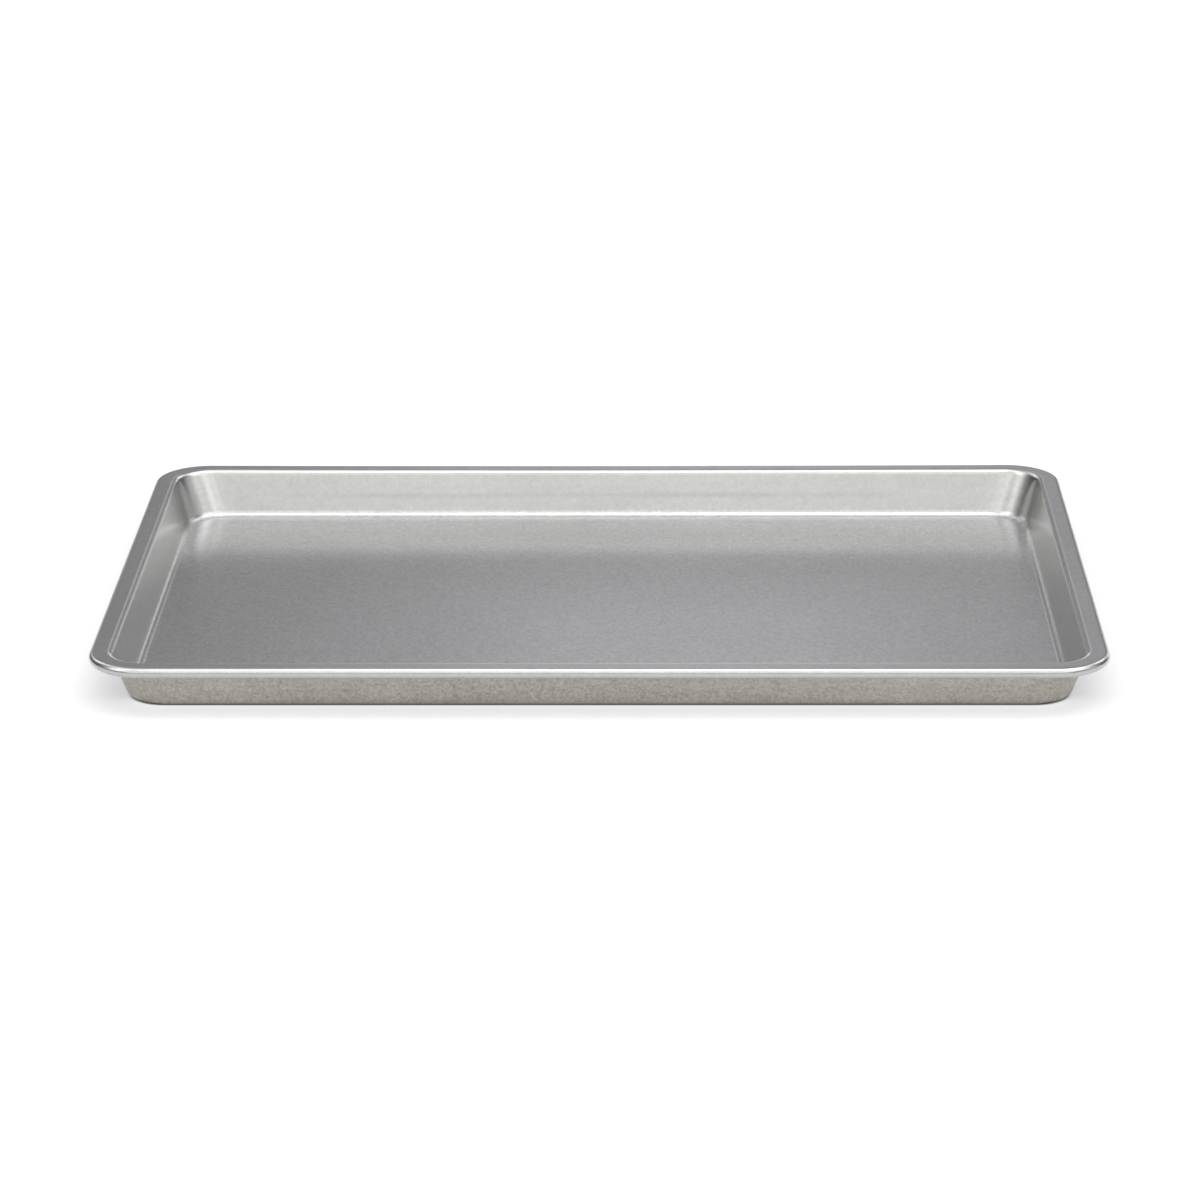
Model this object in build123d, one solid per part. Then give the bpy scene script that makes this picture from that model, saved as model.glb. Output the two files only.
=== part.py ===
from build123d import *
from math import cos, radians, tan
import os

# Jelly roll pan: a shallow rectangular baking tray pressed from one coated steel sheet.
# Its edge is turned out into a flat flange and curled down and under around a wire.
# Millimetres, +Z up, +X along the pan. The origin is the middle of the underside.

# Overall sizes of the pan
pan_length = 404.0             # over the rim
pan_width = 278.0              # over the rim
pan_height = 20.3              # from the underside to the top of the flange
sheet = 0.6                    # coated steel sheet

# Tray: its inner faces, before the bends are rounded
wall_slope = 16.0              # degrees that each wall leans out from upright
opening_corner_radius = 15.0   # corner of the opening, where the walls meet the flange
floor_corner_radius = 16.8     # corner of the floor, where the walls meet it
floor_bend_radius = 2.8        # inside of the bend between floor and wall

# Flange and rolled edge
rim_reach = 8.9                # from the top of the wall to the outermost edge
rim_corner_radius = 23.1       # over the rolled edge, seen from above
flange_bend_radius = 2.4       # upper face of the bend between wall and flange
curl_turn = 260.0              # degrees that the sheet wraps from the flange, down and under

# Wire in the rolled edge
wire_diameter = 2.8
wire_clearance = 0.05          # all round, between wire and curl
wire_end_gap = 1.0             # between the butted ends, in the middle of the rear side
cut_overrun = 1.0              # how far a cutting shape passes the solid that it cuts

# Heights and insets that follow from them
lean = tan(radians(wall_slope))
wall_across = sheet / cos(radians(wall_slope))
bead_radius = wire_diameter / 2 + wire_clearance + sheet

# The rolled edge is drawn with x outwards from the axis of the rim's corner and y up
bead_centre = Vector(rim_corner_radius - bead_radius, pan_height - bead_radius)
corner_x = pan_length / 2 - rim_corner_radius
corner_y = pan_width / 2 - rim_corner_radius


def rim_outline(inset):
    # Outline of the rim, moved in from its outermost edge
    corner = rim_corner_radius - inset
    return RectangleRounded(pan_length - 2 * inset, pan_width - 2 * inset, corner)


def wall_outline(level, outwards):
    # Outline of the walls at a level, moved outwards from their inner faces
    drop = pan_height - level
    drop_share = drop / (pan_height - sheet)
    inset = rim_reach + drop * lean - outwards
    corner = opening_corner_radius + drop_share * (floor_corner_radius - opening_corner_radius) + outwards
    return Pos(0, 0, level) * RectangleRounded(pan_length - 2 * inset, pan_width - 2 * inset, corner)


def tapered_block(bottom, top, outwards, bend_radius):
    # Block that fills the walls from a bottom level to a top level, with its foot rounded
    block = loft([wall_outline(bottom, outwards), wall_outline(top, outwards)], ruled=True)
    foot_edges = block.edges().group_by(Axis.Z)[0]
    return fillet(foot_edges, bend_radius)


def flat_faces(solid):
    # Level faces, from the lowest to the highest
    return solid.faces().filter_by(Axis.Z).sort_by(Axis.Z)


def round_opening(ring, radius):
    # Rounds the inner edges of a flat ring on its solid
    return fillet(ring.inner_wires()[0].edges(), radius)


def run_round(section):
    # Carries a section along the four sides and round the four corners of the rim
    upright = Plane.XZ * section
    quarter = revolve(upright, axis=Axis.Z, revolution_arc=90)
    sides = [(1, 0), (0, 1), (-1, 0), (0, -1)]
    corners = [(1, 1), (-1, 1), (-1, -1), (1, -1)]
    pieces = []
    for step in range(4):
        turn = Rot(0, 0, 90 * step)
        side_x, side_y = sides[step]
        corner_sign_x, corner_sign_y = corners[step]
        run = corner_y if side_x else corner_x
        straight = extrude(upright, run, both=True)
        pieces.append(Pos(side_x * corner_x, side_y * corner_y, 0) * turn * straight)
        pieces.append(Pos(corner_sign_x * corner_x, corner_sign_y * corner_y, 0) * turn * quarter)
    return pieces


def fuse_pieces(pieces):
    whole = pieces[0]
    for piece in pieces[1:]:
        whole = whole + piece
    return whole.clean()


def curl_arc(depth):
    # Arc round the wire from the flange, at a depth below the sheet's upper face
    return CenterArc(bead_centre, bead_radius - depth, 90, -curl_turn)


def curl_section():
    upper = curl_arc(0)
    lower = curl_arc(sheet)
    flange_end = Line(upper @ 0, lower @ 0)
    cut_edge = Line(upper @ 1, lower @ 1)
    return make_face([upper, lower, flange_end, cut_edge])


def make_tray():
    # Floor, walls and flat flange
    flange_plate = Pos(0, 0, pan_height - sheet) * extrude(rim_outline(bead_radius), sheet)
    outside = tapered_block(0, pan_height, wall_across, floor_bend_radius + sheet)
    cavity = tapered_block(sheet, pan_height + cut_overrun, 0, floor_bend_radius)
    tray = flange_plate + outside
    flange_underside = flat_faces(tray)[1]
    tray = round_opening(flange_underside, flange_bend_radius - sheet) - cavity
    flange_top = flat_faces(tray)[-1]
    return round_opening(flange_top, flange_bend_radius)


def make_pan_shell():
    return fuse_pieces([make_tray()] + run_round(curl_section()))


def make_rim_wire():
    wire_section = Pos(bead_centre.X, bead_centre.Y) * Circle(wire_diameter / 2)
    loop = fuse_pieces(run_round(wire_section))
    slot_size = wire_diameter + 2 * cut_overrun
    slot = Box(wire_end_gap, slot_size, slot_size)
    rear_of_loop = Pos(0, pan_width / 2 - bead_radius, bead_centre.Y)
    return loop - rear_of_loop * slot


os.makedirs("parts", exist_ok=True)
export_step(make_pan_shell(), "parts/pan_shell.step")
export_step(make_rim_wire(), "parts/rim_wire.step")
print("opening", round(pan_length - 2 * rim_reach, 1), "by", round(pan_width - 2 * rim_reach, 1), "mm")
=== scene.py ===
import math

import bpy
from mathutils import Matrix, Vector


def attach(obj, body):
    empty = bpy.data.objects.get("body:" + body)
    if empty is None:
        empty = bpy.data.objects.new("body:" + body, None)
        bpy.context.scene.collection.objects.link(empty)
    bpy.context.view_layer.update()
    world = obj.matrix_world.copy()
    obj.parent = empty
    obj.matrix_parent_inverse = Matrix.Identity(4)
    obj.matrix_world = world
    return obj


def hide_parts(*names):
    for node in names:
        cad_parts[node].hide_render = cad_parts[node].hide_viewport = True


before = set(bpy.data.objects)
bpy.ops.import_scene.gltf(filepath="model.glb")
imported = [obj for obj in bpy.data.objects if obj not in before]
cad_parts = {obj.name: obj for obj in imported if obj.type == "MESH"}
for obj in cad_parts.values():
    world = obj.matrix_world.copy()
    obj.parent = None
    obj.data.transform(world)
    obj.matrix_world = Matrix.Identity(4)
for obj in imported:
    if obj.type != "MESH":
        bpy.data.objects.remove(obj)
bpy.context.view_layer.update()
print("frame loaded:", ", ".join(sorted(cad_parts)))


# Node building: an output socket that can be added, multiplied and so on

class Wired:
    def __init__(self, board, socket):
        self.board = board
        self.socket = socket

    def out(self, name):
        return Wired(self.board, self.socket.node.outputs[name])

    def maths(self, operation, *others):
        return self.board.sum(operation, self, *others)

    def __add__(self, other):
        return self.maths("ADD", other)

    def __sub__(self, other):
        return self.maths("SUBTRACT", other)

    def __rsub__(self, other):
        return self.board.sum("SUBTRACT", other, self)

    def __mul__(self, other):
        return self.maths("MULTIPLY", other)

    def __truediv__(self, other):
        return self.maths("DIVIDE", other)

    def __rtruediv__(self, other):
        return self.board.sum("DIVIDE", other, self)

    def __pow__(self, other):
        return self.maths("POWER", other)

    def __rpow__(self, other):
        return self.board.sum("POWER", other, self)

    def __gt__(self, other):
        return self.maths("GREATER_THAN", other)

    def __neg__(self):
        return self.maths("MULTIPLY", -1.0)

    def __abs__(self):
        return self.maths("ABSOLUTE")

    __radd__ = __add__
    __rmul__ = __mul__


class Board:
    def __init__(self, tree):
        self.tree = tree

    def add(self, kind, settings=None, sockets=None, output=0):
        node = self.tree.nodes.new(kind)
        for name, value in (settings or {}).items():
            setattr(node, name, value)
        for key, value in (sockets or {}).items():
            if isinstance(value, Wired):
                self.tree.links.new(value.socket, node.inputs[key])
            else:
                node.inputs[key].default_value = value
        return Wired(self, node.outputs[output]) if node.outputs else node

    def sum(self, operation, *values):
        return self.add("ShaderNodeMath", {"operation": operation}, dict(enumerate(values)))

    def point(self, x, y, z):
        return self.add("ShaderNodeCombineXYZ", None, {"X": x, "Y": y, "Z": z})

    def smooth(self, value, start, end, low=0.0, high=1.0):
        return self.add("ShaderNodeMapRange", {"interpolation_type": "SMOOTHSTEP"},
                        {"Value": value, "From Min": start, "From Max": end, "To Min": low, "To Max": high})

    def noise(self, where, grain, detail=2.0, seed=0.0):
        return self.add("ShaderNodeTexNoise", {"noise_dimensions": "4D"},
                        {"Vector": where, "W": seed, "Scale": 1 / grain, "Detail": detail})

    def mixed(self, share, first, second):
        return self.add("ShaderNodeMix", {"data_type": "RGBA"}, {0: share, 6: first, 7: second}, 2)


# Geometry Nodes: a tree with named inputs, run once and kept as a plain mesh

def newBuilder(name, inputs):
    tree = bpy.data.node_groups.new(name, "GeometryNodeTree")
    tree.interface.new_socket(name="Geometry", in_out="OUTPUT", socket_type="NodeSocketGeometry")
    for label, kind in inputs.items():
        tree.interface.new_socket(name=label, in_out="INPUT", socket_type="NodeSocket" + kind)
    board = Board(tree)
    return board, board.add("NodeGroupInput")


def finishBuilder(board, geometry):
    board.add("NodeGroupOutput", None, {0: geometry})
    return board.tree


def runBuilder(name, tree, values):
    maker = bpy.data.objects.new(name + "Maker", bpy.data.meshes.new(name + "Maker"))
    bpy.context.scene.collection.objects.link(maker)
    modifier = maker.modifiers.new("build", "NODES")
    modifier.node_group = tree
    for item in tree.interface.items_tree:
        if item.in_out == "INPUT":
            modifier[item.identifier] = values[item.name]
    depsgraph = bpy.context.evaluated_depsgraph_get()
    mesh = bpy.data.meshes.new_from_object(maker.evaluated_get(depsgraph), depsgraph=depsgraph)
    maker.modifiers.remove(modifier)
    bpy.data.objects.remove(maker)
    mesh.name = name
    if not mesh.materials[0]:
        mesh.materials.pop(index=0)   # the empty slot of the bare grid
    piece = bpy.data.objects.new(name, mesh)
    bpy.context.scene.collection.objects.link(piece)
    print(name, "built:", len(mesh.vertices), "points,", len(mesh.polygons), "faces")
    return piece


def pointList(name, points):
    # Points that a builder reads by their number
    mesh = bpy.data.meshes.new(name)
    mesh.from_pydata(points, [], [])
    holder = bpy.data.objects.new(name, mesh)
    bpy.context.scene.collection.objects.link(holder)
    return holder


# Pan sheet: floor, walls, flange and rolled edge, pressed and rolled from one coated sheet

panSheet = {
    "length": 0.404,
    "width": 0.278,
    "height": 0.0203,
    "sheet": 0.0006,
    "wallSlope": math.radians(16),
    "openingCorner": 0.015,
    "floorCorner": 0.0168,
    "floorBend": 0.0028,
    "rimReach": 0.0089,
    "rimCorner": 0.0231,
    "flangeBend": 0.0024,
    "curlTurn": math.radians(260),
    "beadRadius": 0.00205,
    "cutRounding": 0.00012,
    "rearBow": 0.00030,        # the rear edge hangs a little in the middle
    "bowFade": 1.25,           # how fast that fades towards the ends
    "bowFrom": (0.7, 0.95),    # and where it sets in, as shares of the way to the rear edge
    "pressWave": 0.00016,      # unevenness of the pressed walls and flange
    "waveSize": 0.055,
    "floorRise": 0.00022,      # the floor is pressed very slightly hollow from below
    "riseFade": (1.22, 1.33),  # lengthways and across
    "riseUpTo": (0.05, 0.15),  # shares of the height
    "edgeMargin": 0.0003,      # from the end of a straight run to its first row
    "weld": 0.000002,          # closes the seam where the columns meet
    "floorRows": 17, "footRows": 12, "wallRows": 6, "lipRows": 10, "flangeRows": 5, "curlRows": 40,
    "longSteps": 60, "shortSteps": 38, "cornerSteps": 18,
    "seed": 4.7,
}


def wallInset(pan, level):
    # How far in from the rim the walls' inner faces lie at a level
    return pan["rimReach"] + (pan["height"] - level) * math.tan(pan["wallSlope"])


def footPlace(pan):
    # Centre of the bend between floor and wall, as inset from the rim and level
    level = pan["sheet"] + pan["floorBend"]
    return wallInset(pan, level) + pan["floorBend"] / math.cos(pan["wallSlope"]), level


def spread(first, last, steps):
    return [first + (last - first) * step / steps for step in range(steps + 1)]


def arc(centre, radius, first, last, steps):
    turns = spread(first, last, steps)
    return [(centre[0] + radius * math.sin(turn), centre[1] + radius * math.cos(turn)) for turn in turns]


def between(start, end, share):
    return start[0] + (end[0] - start[0]) * share, start[1] + (end[1] - start[1]) * share


def run(start, end, steps, margin):
    # Straight run with a row close to each end, so that the bends keep their shading to themselves
    edge = margin / math.dist(start, end)
    return [between(start, end, share) for share in spread(edge, 1 - edge, steps)]


def sheetSection(pan):
    # Both faces of the sheet from the middle of the floor to the rolled edge and back,
    # as inset from the rim, level and corner radius
    sheet, top, margin = pan["sheet"], pan["height"], pan["edgeMargin"]
    bend = math.pi / 2 - pan["wallSlope"]
    footCentre = footPlace(pan)
    lipLevel = top - pan["flangeBend"]
    lipCentre = (wallInset(pan, lipLevel) - pan["flangeBend"] / math.cos(pan["wallSlope"]), lipLevel)
    beadCentre = (pan["beadRadius"], top - pan["beadRadius"])

    def face(depth):
        # One face of the sheet at a depth under its upper face, from the middle of the floor to the cut edge
        foot = arc(footCentre, pan["floorBend"] + depth, -math.pi, -math.pi + bend, pan["footRows"])
        lip = arc(lipCentre, pan["flangeBend"] - depth, bend, 0, pan["lipRows"])
        bead = arc(beadCentre, pan["beadRadius"] - depth, 0, -pan["curlTurn"], pan["curlRows"])
        middle = (pan["width"] / 2, sheet - depth)
        floor = [middle] + run(middle, foot[0], pan["floorRows"], margin)
        wall = run(foot[-1], lip[0], pan["wallRows"], margin)
        flange = run(lip[-1], bead[0], pan["flangeRows"], margin)
        return floor + foot + wall + lip + flange + bead

    upper, lower = face(0), face(sheet)
    # The cut edge stands out by its rounding, with two points on each rounded corner and one between them
    rounding = pan["cutRounding"] / sheet
    endTurn = -pan["curlTurn"]
    past = (-math.cos(endTurn) * pan["cutRounding"], math.sin(endTurn) * pan["cutRounding"])
    half = [(rounding * 0.3, 0.7), (rounding, 1), (0.5, 1)]
    cut = []
    for share, out in half + [(1 - share, out) for share, out in half[1::-1]]:
        inset, level = between(upper[-1], lower[-1], share)
        cut.append((inset + past[0] * out, level + past[1] * out))
    points = []
    for inset, level in upper + cut + lower[::-1]:
        drop = (top - level) / (top - sheet)
        wallCorner = pan["openingCorner"] + drop * (pan["floorCorner"] - pan["openingCorner"])
        inner = min(1.0, max(0.0, (inset - beadCentre[0]) / (lipCentre[0] - beadCentre[0])))
        corner = (1 - inner) * pan["rimCorner"] + inner * (wallCorner + wallInset(pan, level)) - inset
        points.append((inset, level, max(0.0, corner)))
    return points, len(upper), len(cut)


def rimOutline(pan):
    # Once round the pan: shares of the way to the corner's centre, and the angle that the outline faces
    points = []
    sides = [(1, 0, 0), (0, 1, 90), (-1, 0, 180), (0, -1, 270)]
    for sideX, sideY, facing in sides:
        steps = pan["shortSteps"] if sideX else pan["longSteps"]
        angle = math.radians(facing)
        for way in spread(-1, 1, steps)[:-1]:
            points.append((sideX - sideY * way, sideY + sideX * way, angle))
        corner = (sideX - sideY, sideY + sideX)
        for turn in spread(0, math.pi / 2, pan["cornerSteps"])[:-1]:
            points.append((corner[0], corner[1], angle + turn))
    return points + points[:1]


def sheetBuilder(pan):
    board, given = newBuilder("panSheetBuilder", {
        "Section": "Object", "Outline": "Object", "Section Points": "Int", "Outline Points": "Int",
        "Length": "Float", "Width": "Float", "Height": "Float", "Rear Bow": "Float",
        "Press Wave": "Float", "Wave Size": "Float", "Floor Rise": "Float", "Seed": "Float",
        "Cut Start": "Float", "Cut End": "Float",
        "Upper Coating": "Material", "Cut Steel": "Material", "Lower Coating": "Material"})
    grid = board.add("GeometryNodeMeshGrid", None, {
        "Vertices X": given.out("Section Points"), "Vertices Y": given.out("Outline Points")})
    number = board.add("GeometryNodeInputIndex")
    columns = given.out("Outline Points")
    nudge = 0.0001    # keeps a whole number from falling just below itself
    row = (number / columns + nudge).maths("FLOOR")
    column = number - row * columns

    def readPoint(listName, place):
        listed = board.add("GeometryNodeObjectInfo", None, {"Object": given.out(listName)}, "Geometry")
        spot = board.add("GeometryNodeInputPosition")
        read = board.add("GeometryNodeSampleIndex", {"data_type": "FLOAT_VECTOR"}, {
            "Geometry": listed, "Value": spot, "Index": place})
        return board.add("ShaderNodeSeparateXYZ", None, {"Vector": read})

    section = readPoint("Section", row)
    inset, level, corner = section.out("X"), section.out("Y"), section.out("Z")
    outline = readPoint("Outline", column)
    shareX, shareY, facing = outline.out("X"), outline.out("Y"), outline.out("Z")
    x = (given.out("Length") * 0.5 - inset - corner) * shareX + corner * facing.maths("COSINE")
    y = (given.out("Width") * 0.5 - inset - corner) * shareY + corner * facing.maths("SINE")
    placed = board.add("GeometryNodeSetPosition", None, {
        "Geometry": grid, "Position": board.point(x, y, level)})

    # Unevenness of the press, always inwards or downwards, so that the pan keeps its stated size
    flat = board.add("GeometryNodeInputPosition")
    spot = board.add("ShaderNodeSeparateXYZ", None, {"Vector": flat})
    shareUp = spot.out("Z") / given.out("Height")
    alongX = spot.out("X") / (given.out("Length") * 0.5)
    alongY = spot.out("Y") / (given.out("Width") * 0.5)
    wave = board.noise(flat, given.out("Wave Size"), 1.0, given.out("Seed"))
    waves = board.add("ShaderNodeSeparateXYZ", None, {"Vector": wave.out("Color")})
    size = given.out("Press Wave") * shareUp

    def fading(share, speed):
        return (1 - share * share * speed).maths("MAXIMUM", 0.0)

    rise = given.out("Floor Rise") * fading(alongX, pan["riseFade"][0]) * fading(alongY, pan["riseFade"][1])
    rise = rise * board.smooth(shareUp, *pan["riseUpTo"], 1.0, 0.0)
    bow = given.out("Rear Bow") * fading(alongX, pan["bowFade"])
    bow = bow * board.smooth(alongY, *pan["bowFrom"]) * shareUp
    shift = board.point(-(size * alongX * waves.out("X")), -(size * alongY * waves.out("Y")),
                        rise - size * waves.out("Z") - bow)
    shaped = board.add("GeometryNodeSetPosition", None, {"Geometry": placed, "Offset": shift})

    faceRow = (number / (columns - 1) + nudge).maths("FLOOR")
    pastUpper = faceRow > given.out("Cut Start")
    pastCut = faceRow > given.out("Cut End")
    coated = board.add("GeometryNodeSetMaterial", None, {
        "Geometry": shaped, "Material": given.out("Upper Coating")})
    coated = board.add("GeometryNodeSetMaterial", None, {
        "Geometry": coated, "Selection": pastUpper, "Material": given.out("Cut Steel")})
    coated = board.add("GeometryNodeSetMaterial", None, {
        "Geometry": coated, "Selection": pastCut, "Material": given.out("Lower Coating")})
    closed = board.add("GeometryNodeMergeByDistance", None, {"Geometry": coated, "Distance": pan["weld"]})
    smoothed = board.add("GeometryNodeSetShadeSmooth", None, {"Geometry": closed})
    return finishBuilder(board, board.add("GeometryNodeRealizeInstances", None, {"Geometry": smoothed}))


# Finishes

# Places and proportions that both coatings share
marks = {
    "streakStretch": 0.06,          # height of a streak as a share of its length
    "midLineFade": (0.10, 0.16),       # the faint line fades out between these, along the pan from its middle
    "longWalls": (0.110, 0.118),    # and sets in between these, across it
    "floorUpTo": (0.001, 0.004),
    "footShadeEdge": 0.0013,
    "tintEdge": (0.45, 0.65),
}

upperCoat = {
    "dark": (0.376, 0.376, 0.377, 1),
    "light": (0.556, 0.556, 0.557, 1),
    "tint": (0.470, 0.470, 0.460, 1),
    "tintShare": 0.25, "tintSize": 0.010,
    "cloudSize": 0.070, "cloudTone": 0.16,
    "mottleSize": 0.0032, "mottleTone": 0.18,
    "streakSize": 0.0035, "streakTone": 0.17,
    "midLineLevel": 0.0092, "midLineWidth": 0.0011, "midLineTone": 0.26,
    "flakeSize": 0.00095, "flakeTone": 0.26, "floorFlake": 0.56, "flakeStretch": 0.6,
    "footShadeTone": 0.0, "footShadeReach": 0.0012,
    "metallic": 0.92,
    "roughness": 0.19, "roughnessSpread": 0.02,
    "hazeRoughness": 0.33, "hazeShare": 0.38,
    "coat": 0.10, "coatRoughness": 0.25,
    "peelSize": 0.0016, "peelDepth": 0.0000010,
    "grainSize": 0.00060, "grainDepth": 0.0000003,
    "seed": 1.3,
}

lowerCoat = {
    "dark": (0.230, 0.211, 0.191, 1),
    "light": (0.572, 0.538, 0.494, 1),
    "tint": (0.400, 0.402, 0.350, 1),
    "tintShare": 0.45, "tintSize": 0.0043,
    "cloudSize": 0.045, "cloudTone": 0.16,
    "mottleSize": 0.0014, "mottleTone": 0.21,
    "streakSize": 0.0030, "streakTone": 0.12,
    "midLineLevel": 0.0092, "midLineWidth": 0.0011, "midLineTone": 0.0,
    "flakeSize": 0.00085, "flakeTone": 0.44, "floorFlake": 0.44, "flakeStretch": 1.0,
    "footShadeTone": 0.85, "footShadeReach": 0.0014,
    "metallic": 0.85,
    "roughness": 0.40, "roughnessSpread": 0.08,
    "hazeRoughness": 0.48, "hazeShare": 0.38,
    "coat": 0.06, "coatRoughness": 0.25,
    "peelSize": 0.0018, "peelDepth": 0.000004,
    "grainSize": 0.00060, "grainDepth": 0.000003,
    "seed": 8.1,
}


def newMaterial(name):
    material = bpy.data.materials.new(name)
    material.use_nodes = True
    material.node_tree.nodes.clear()
    return material, Board(material.node_tree)


def coating(name, coat):
    # Baked-on coating with fine metal flake: clouds, mottling, flakes, streaks along the walls, orange peel
    material, board = newMaterial(name)
    where = board.add("ShaderNodeTexCoord", None, None, "Object")
    spot = board.add("ShaderNodeSeparateXYZ", None, {"Vector": where})
    fromMiddleX, fromMiddleY, level = abs(spot.out("X")), abs(spot.out("Y")), spot.out("Z")
    stretch = marks["streakStretch"]
    along = board.point(spot.out("X") * stretch, spot.out("Y") * stretch, level)
    streak = board.noise(along, coat["streakSize"], 2.0, coat["seed"] + 5) - 0.5
    # Faint darker line half way up the long walls
    fromLine = (level - coat["midLineLevel"]) / coat["midLineWidth"]
    drawn = (-(fromLine * fromLine)).maths("EXPONENT")
    drawn = drawn * board.smooth(fromMiddleX, *marks["midLineFade"], 1.0, 0.0)
    drawn = drawn * board.smooth(fromMiddleY, *marks["longWalls"])
    cloud = board.noise(where, coat["cloudSize"], 3.0, coat["seed"]) - 0.5
    mottle = board.noise(where, coat["mottleSize"], 2.0, coat["seed"] + 1) - 0.5
    laid = board.point(spot.out("X"), spot.out("Y") * coat["flakeStretch"], level)
    cells = board.add("ShaderNodeTexVoronoi", None, {"Vector": laid, "Scale": 1 / coat["flakeSize"]}, "Color")
    flakes = board.add("ShaderNodeSeparateColor", None, {"Color": cells}, "Red")
    flake = flakes - 0.5
    flakeTone = board.smooth(level, *marks["floorUpTo"], coat["floorFlake"], coat["flakeTone"])
    tone = 0.5 + cloud * coat["cloudTone"] * 2 + mottle * coat["mottleTone"] * 2 + flake * flakeTone
    tone = tone + streak * coat["streakTone"] * 2 - drawn * coat["midLineTone"]
    colour = board.mixed(tone.maths("MINIMUM", 1.0).maths("MAXIMUM", 0.0), coat["dark"], coat["light"])
    patch = board.noise(where, coat["tintSize"], 2.0, coat["seed"] + 2)
    tinted = board.smooth(patch, *marks["tintEdge"], 0.0, coat["tintShare"])
    colour = board.mixed(tinted, colour, coat["tint"])
    # Darker at the foot of the walls, which deepens the shadow line that the photo shows there
    footX, footY = (panSheet[side] / 2 - footPlace(panSheet)[0] for side in ("length", "width"))
    pastX = board.smooth(fromMiddleX, footX - marks["footShadeEdge"], footX)
    pastY = board.smooth(fromMiddleY, footY - marks["footShadeEdge"], footY)
    # Painted shade: the coating colour is mixed towards black near the foot of the walls
    foot = (level / -coat["footShadeReach"]).maths("EXPONENT") * pastX.maths("MAXIMUM", pastY) * coat["footShadeTone"]
    colour = board.mixed(foot, colour, (0.0, 0.0, 0.0, 1.0))
    unevenness = (cloud + flakes.out("Green") - 0.5) * coat["roughnessSpread"]
    peel = board.noise(where, coat["peelSize"], 1.0, coat["seed"] + 3) * coat["peelDepth"]
    grain = board.noise(where, coat["grainSize"], 1.0, coat["seed"] + 4) * coat["grainDepth"]
    normal = board.add("ShaderNodeBump", None, {"Strength": 1.0, "Distance": 1.0, "Height": peel + grain})

    def layer(roughness):
        return board.add("ShaderNodeBsdfPrincipled", None, {
            "Base Color": colour, "Metallic": coat["metallic"], "Roughness": roughness + unevenness,
            "Normal": normal, "Coat Weight": coat["coat"], "Coat Roughness": coat["coatRoughness"]})

    # The flakes lie at slightly different slants, so a wide haze surrounds the clear reflection
    surface = board.add("ShaderNodeMixShader", None, {
        0: coat["hazeShare"], 1: layer(coat["roughness"]), 2: layer(coat["hazeRoughness"])})
    board.add("ShaderNodeOutputMaterial", None, {"Surface": surface})
    return material


bareSteel = {
    "dark": (0.36, 0.355, 0.345, 1),
    "light": (0.62, 0.61, 0.59, 1),
    "stain": (0.30, 0.25, 0.20, 1),
    "stainShare": 0.22,
    "blotchSize": 0.004,
    "drawnLine": 0.00009,      # fine lines from the die
    "lineStretch": 0.08,
    "lineDepth": 0.000004,
    "lineEdge": (0.3, 0.7), "blotchEdge": (0.52, 0.72),
    "roughness": 0.34, "lineRoughness": 0.18, "blotchRoughness": 0.2,
    "seed": 3.9,
}


def drawnSteel(name, steel):
    # Bare steel wire and cut edges: fine lines, a few dull spots
    material, board = newMaterial(name)
    where = board.add("ShaderNodeTexCoord", None, None, "Object")
    spot = board.add("ShaderNodeSeparateXYZ", None, {"Vector": where})
    stretch = steel["lineStretch"]
    stretched = board.point(spot.out("X") * stretch, spot.out("Y") * stretch, spot.out("Z"))
    lines = board.noise(stretched, steel["drawnLine"], 2.0, steel["seed"])
    blotch = board.noise(where, steel["blotchSize"], 3.0, steel["seed"] + 1)
    colour = board.mixed(board.smooth(lines, *steel["lineEdge"]), steel["dark"], steel["light"])
    stained = board.smooth(blotch, *steel["blotchEdge"], 0.0, steel["stainShare"])
    colour = board.mixed(stained, colour, steel["stain"])
    roughness = steel["roughness"] + (lines - 0.5) * steel["lineRoughness"]
    roughness = roughness + (blotch - 0.5) * steel["blotchRoughness"]
    depth = lines * steel["lineDepth"]
    normal = board.add("ShaderNodeBump", None, {"Strength": 1.0, "Distance": 1.0, "Height": depth})
    surface = board.add("ShaderNodeBsdfPrincipled", None, {
        "Base Color": colour, "Metallic": 1.0, "Roughness": roughness, "Normal": normal})
    board.add("ShaderNodeOutputMaterial", None, {"Surface": surface})
    return material


upperCoating = coating("upperCoating", upperCoat)
lowerCoating = coating("lowerCoating", lowerCoat)
cutSteel = drawnSteel("cutSteel", bareSteel)
print("finishes made")

sectionPoints, upperCount, cutCount = sheetSection(panSheet)
outlinePoints = rimOutline(panSheet)
sectionList = pointList("sectionList", sectionPoints)
outlineList = pointList("outlineList", outlinePoints)
panShell = runBuilder("panSheet", sheetBuilder(panSheet), {
    "Section": sectionList, "Outline": outlineList,
    "Section Points": len(sectionPoints), "Outline Points": len(outlinePoints),
    "Length": panSheet["length"], "Width": panSheet["width"], "Height": panSheet["height"],
    "Rear Bow": panSheet["rearBow"], "Press Wave": panSheet["pressWave"], "Wave Size": panSheet["waveSize"],
    "Floor Rise": panSheet["floorRise"], "Seed": panSheet["seed"],
    "Cut Start": float(upperCount - 1.5), "Cut End": float(upperCount + cutCount - 0.5),
    "Upper Coating": upperCoating, "Cut Steel": cutSteel, "Lower Coating": lowerCoating})
for used in (sectionList, outlineList):
    bpy.data.objects.remove(used)
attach(panShell, "root")
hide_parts("pan_shell")


# Stiffening wire inside the rolled edge, its ends butted in the middle of the rear side

rimWire = {
    "inset": panSheet["beadRadius"],                     # of its middle line, from the rim
    "level": panSheet["height"] - panSheet["beadRadius"],
    "bend": panSheet["rimCorner"] - panSheet["beadRadius"],
    "diameter": 0.0028,
    "endGap": 0.001,
    "cornerPoints": 24,
    "roundPoints": 20,
}


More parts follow.
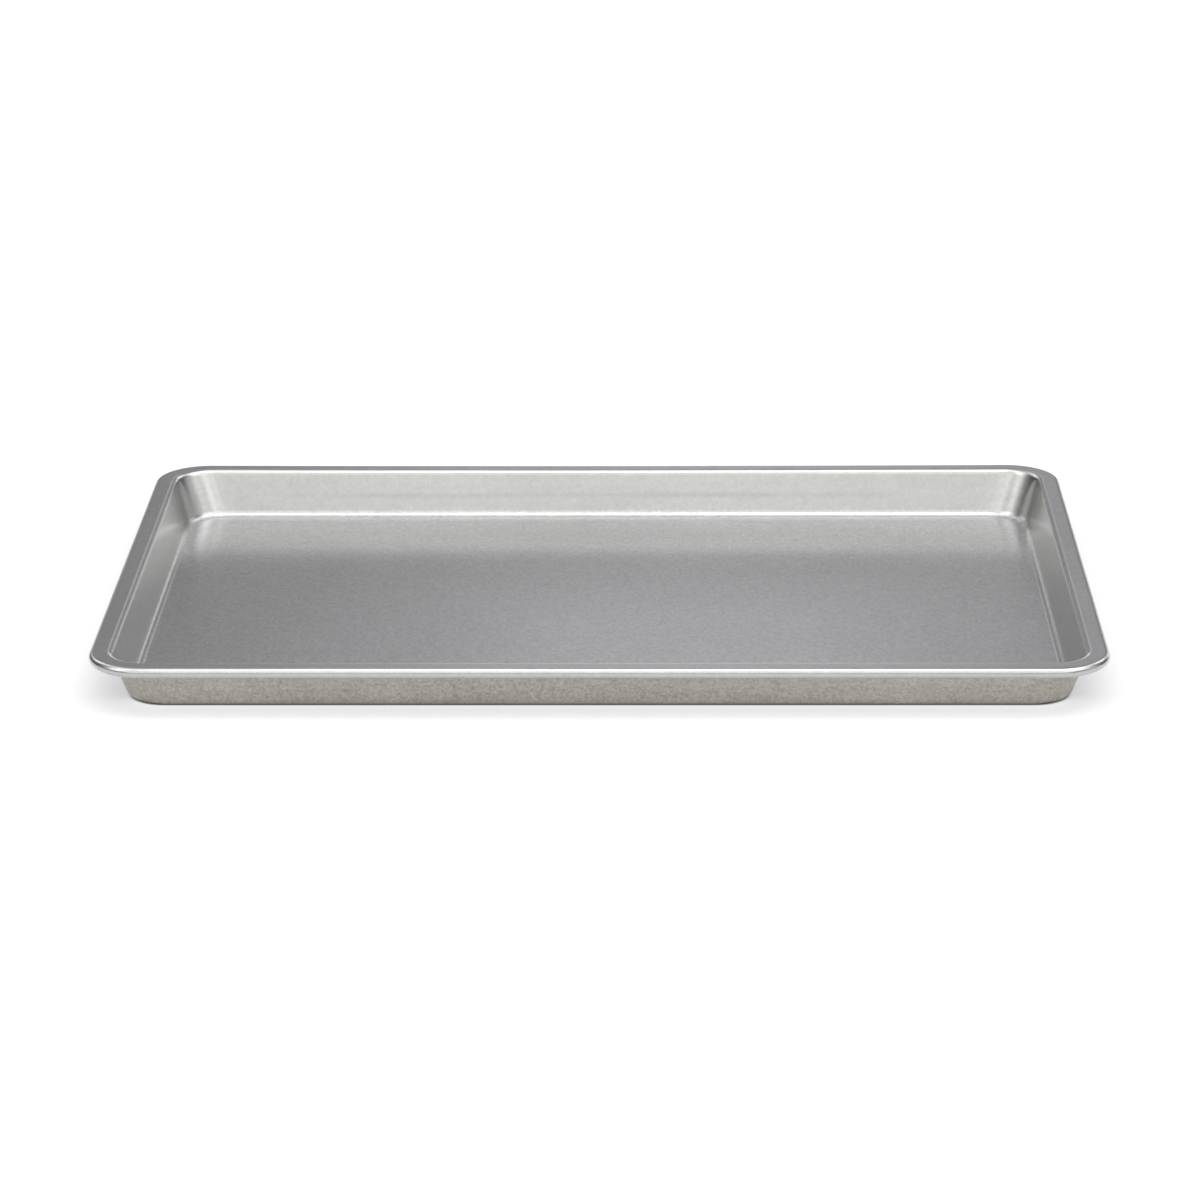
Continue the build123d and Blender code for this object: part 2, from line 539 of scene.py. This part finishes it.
def wireBuilder():
    board, given = newBuilder("rimWireBuilder", {
        "Path": "Object", "Bend Radius": "Float", "Diameter": "Float",
        "Corner Points": "Int", "Round Points": "Int", "Steel": "Material"})
    path = board.add("GeometryNodeObjectInfo", None, {"Object": given.out("Path")}, "Geometry")
    line = board.add("GeometryNodeMeshToCurve", None, {"Mesh": path})
    bent = board.add("GeometryNodeFilletCurve", {"mode": "POLY"}, {
        "Curve": line, "Radius": given.out("Bend Radius"), "Count": given.out("Corner Points")})
    section = board.add("GeometryNodeCurvePrimitiveCircle", None, {
        "Resolution": given.out("Round Points"), "Radius": given.out("Diameter") * 0.5})
    drawn = board.add("GeometryNodeCurveToMesh", None, {
        "Curve": bent, "Profile Curve": section, "Fill Caps": True})
    smoothed = board.add("GeometryNodeSetShadeSmooth", None, {"Geometry": drawn})
    finished = board.add("GeometryNodeSetMaterial", None, {
        "Geometry": smoothed, "Material": given.out("Steel")})
    return finishBuilder(board, board.add("GeometryNodeRealizeInstances", None, {"Geometry": finished}))


def wirePath(wire, pan):
    x = pan["length"] / 2 - wire["inset"]
    y = pan["width"] / 2 - wire["inset"]
    z = wire["level"]
    end = wire["endGap"] / 2
    points = [(end, y, z), (x, y, z), (x, -y, z), (-x, -y, z), (-x, y, z), (-end, y, z)]
    mesh = bpy.data.meshes.new("wirePath")
    mesh.from_pydata(points, [(step, step + 1) for step in range(len(points) - 1)], [])
    holder = bpy.data.objects.new("wirePath", mesh)
    bpy.context.scene.collection.objects.link(holder)
    return holder


pathHolder = wirePath(rimWire, panSheet)
wireLoop = runBuilder("rimWire", wireBuilder(), {
    "Path": pathHolder, "Bend Radius": rimWire["bend"], "Diameter": rimWire["diameter"],
    "Corner Points": rimWire["cornerPoints"], "Round Points": rimWire["roundPoints"],
    "Steel": drawnSteel("wireSteel", bareSteel)})
bpy.data.objects.remove(pathHolder)
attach(wireLoop, "root")
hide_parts("rim_wire")


# Table, light and camera

# A pale table that glows by itself. A painted shadow round the pan's foot and a painted brighter strip in
# front of it are drawn into that glow by the distance from the foot
table = {
    "reach": 6.0,
    "colour": (0.50, 0.50, 0.50, 1),
    "roughness": 0.6, "specular": 0.2,
    "glow": 0.751,
    "glowTone": (0.981, 0.982, 1.013, 1),
    "footCorner": 0.013,       # of the pan's level underside
    "paintedShadowTouch": (0.0008, 0.0026),
    "frontFrom": (0.110, 0.125),
    "openShare": 0.54, "paintedLiftReach": 0.007,
}


def makeTable(pan):
    reach = table["reach"]
    mesh = bpy.data.meshes.new("table")
    corners = [(-reach, -reach, 0), (reach, -reach, 0), (reach, reach, 0), (-reach, reach, 0)]
    mesh.from_pydata(corners, [], [(0, 1, 2, 3)])
    board = bpy.data.objects.new("table", mesh)
    bpy.context.scene.collection.objects.link(board)
    material, nodes = newMaterial("tablePaper")
    where = nodes.add("ShaderNodeTexCoord", None, None, "Object")
    spot = nodes.add("ShaderNodeSeparateXYZ", None, {"Vector": where})
    # Distance from the pan's foot, a rectangle with rounded corners
    corner = table["footCorner"]
    edge = footPlace(pan)[0] + corner
    overX = (abs(spot.out("X")) - (pan["length"] / 2 - edge)).maths("MAXIMUM", 0.0)
    overY = (abs(spot.out("Y")) - (pan["width"] / 2 - edge)).maths("MAXIMUM", 0.0)
    away = (overX * overX + overY * overY) ** 0.5 - corner
    # Painted light: a brighter strip of glow in front of the pan's foot
    paintedLift = (away / -table["paintedLiftReach"]).maths("EXPONENT") * nodes.smooth(-spot.out("Y"), *table["frontFrom"])
    paintedLift = paintedLift * (1 - table["openShare"]) + table["openShare"]
    # Painted shadow: the glow fades out round the pan's foot
    share = nodes.smooth(away, *table["paintedShadowTouch"]) * paintedLift.maths("MINIMUM", 1.0)
    glow = nodes.mixed(share, (0, 0, 0, 1), table["glowTone"])
    surface = nodes.add("ShaderNodeBsdfPrincipled", None, {
        "Base Color": table["colour"], "Roughness": table["roughness"],
        "Specular IOR Level": table["specular"],
        "Emission Color": glow, "Emission Strength": table["glow"]})
    nodes.add("ShaderNodeOutputMaterial", None, {"Surface": surface})
    mesh.materials.append(material)


# Soft boxes: azimuth from behind the pan towards its right, elevation, spread in degrees, strength, tone.
# A separate program picked 31 of them from a list of candidates and set their strengths, and the table's
# glow, by least squares against the tones of the photo. Four were then changed and two were added
studio = {
    "plain": (1.0, 1.0, 1.0),
    "cool": (0.993, 0.986, 1.020),
    "warm": (1.000, 1.006, 0.962),
    "boxes": [
        (0, 3, 6, 1.34, "cool"),
        (0, 8, 5, 1.56, "cool"),
        (-14, 10, 7, 0.24, "cool"),
        (14, 10, 7, 0.27, "cool"),
        (30, 8, 8, 2.05, "cool"),
        (-90, 12, 14, 0.215, "plain"),
        (90, 12, 14, 0.863, "plain"),
        (-24, 14, 7, 0.714, "cool"),
        (-8, 20, 5, 0.24, "cool"),
        (8, 20, 5, 0.45, "cool"),
        (0, 25, 4.5, 1.59, "cool"),
        (-36, 34, 11, 2.52, "cool"),
        (36, 34, 11, 3.02, "cool"),
        (-20, 46, 12, 1.07, "cool"),
        (-60, 52, 14, 0.453, "plain"),
        (60, 52, 14, 0.957, "plain"),
        (-90, 66, 16, 2.86, "plain"),
        (0, 66, 12, 0.588, "plain"),
        (90, 66, 16, 4.24, "plain"),
        (0, 80, 10, 1.3, "plain"),
        (0, 90, 9, 2.7, "plain"),
        (180, 20, 13, 1.5, "warm"),
        (-155, 22, 14, 1.3, "warm"),
        (155, 22, 14, 1.02, "warm"),
        (180, 32, 12, 0.642, "warm"),
        (-150, 36, 16, 0.918, "warm"),
        (-115, 36, 16, 3.08, "warm"),
        (115, 36, 16, 2.33, "warm"),
        (150, 36, 16, 1.74, "warm"),
        (180, 46, 13, 0.285, "warm"),
        (-135, 54, 16, 0.452, "warm"),
        (135, 54, 16, 0.477, "warm"),
        (180, 64, 13, 3.44, "plain"),
    ],
}


def lightStudio():
    world = bpy.data.worlds.new("studio")
    world.use_nodes = True
    world.node_tree.nodes.clear()
    board = Board(world.node_tree)
    way = board.add("ShaderNodeTexCoord", None, None, "Generated")
    total = (0.0, 0.0, 0.0)
    for azimuth, elevation, reach, strength, tone in studio["boxes"]:
        turn, rise = math.radians(azimuth), math.radians(elevation)
        aim = Vector((math.sin(turn) * math.cos(rise), math.cos(turn) * math.cos(rise), math.sin(rise)))
        facing = board.add("ShaderNodeVectorMath", {"operation": "DOT_PRODUCT"}, {0: way, 1: aim}, "Value")
        tightness = 1 / (1 - math.cos(math.radians(reach)))
        lit = (facing * tightness - tightness).maths("EXPONENT") * strength
        total = board.add("ShaderNodeVectorMath", {"operation": "MULTIPLY_ADD"}, {
            0: lit, 1: studio[tone], 2: total})
    sky = board.add("ShaderNodeBackground", None, {"Color": total, "Strength": 1.0})
    board.add("ShaderNodeOutputWorld", None, {"Surface": sky})
    bpy.context.scene.world = world


# Camera of the photograph: a long lens, looking down at the long front side
photoCamera = {
    "lens": 127.45,
    "elevation": math.radians(18.5936),
    "turn": math.radians(-0.9962),
    "roll": math.radians(-0.3466),
    "aim": Vector((-0.0014063, 0.0063417, 0)),
    "distance": 1.801776,
}


def placeCamera(shot):
    data = bpy.data.cameras.new("photoCamera")
    data.lens = shot["lens"]
    data.sensor_width = 36
    data.clip_start, data.clip_end = 0.05, 50
    camera = bpy.data.objects.new("photoCamera", data)
    bpy.context.scene.collection.objects.link(camera)
    turn, rise, roll = shot["turn"], shot["elevation"], shot["roll"]
    ahead = Vector((math.sin(turn) * math.cos(rise), math.cos(turn) * math.cos(rise), -math.sin(rise)))
    right = Vector((math.cos(turn), -math.sin(turn), 0))
    up = right.cross(ahead)
    right, up = right * math.cos(roll) + up * math.sin(roll), up * math.cos(roll) - right * math.sin(roll)
    facing = Matrix((right, up, -ahead)).transposed().to_4x4()
    camera.matrix_world = Matrix.Translation(shot["aim"] - ahead * shot["distance"]) @ facing
    bpy.context.scene.camera = camera


makeTable(panSheet)
lightStudio()
placeCamera(photoCamera)
scene = bpy.context.scene
scene.view_settings.view_transform = "Standard"
scene.view_settings.look = "None"
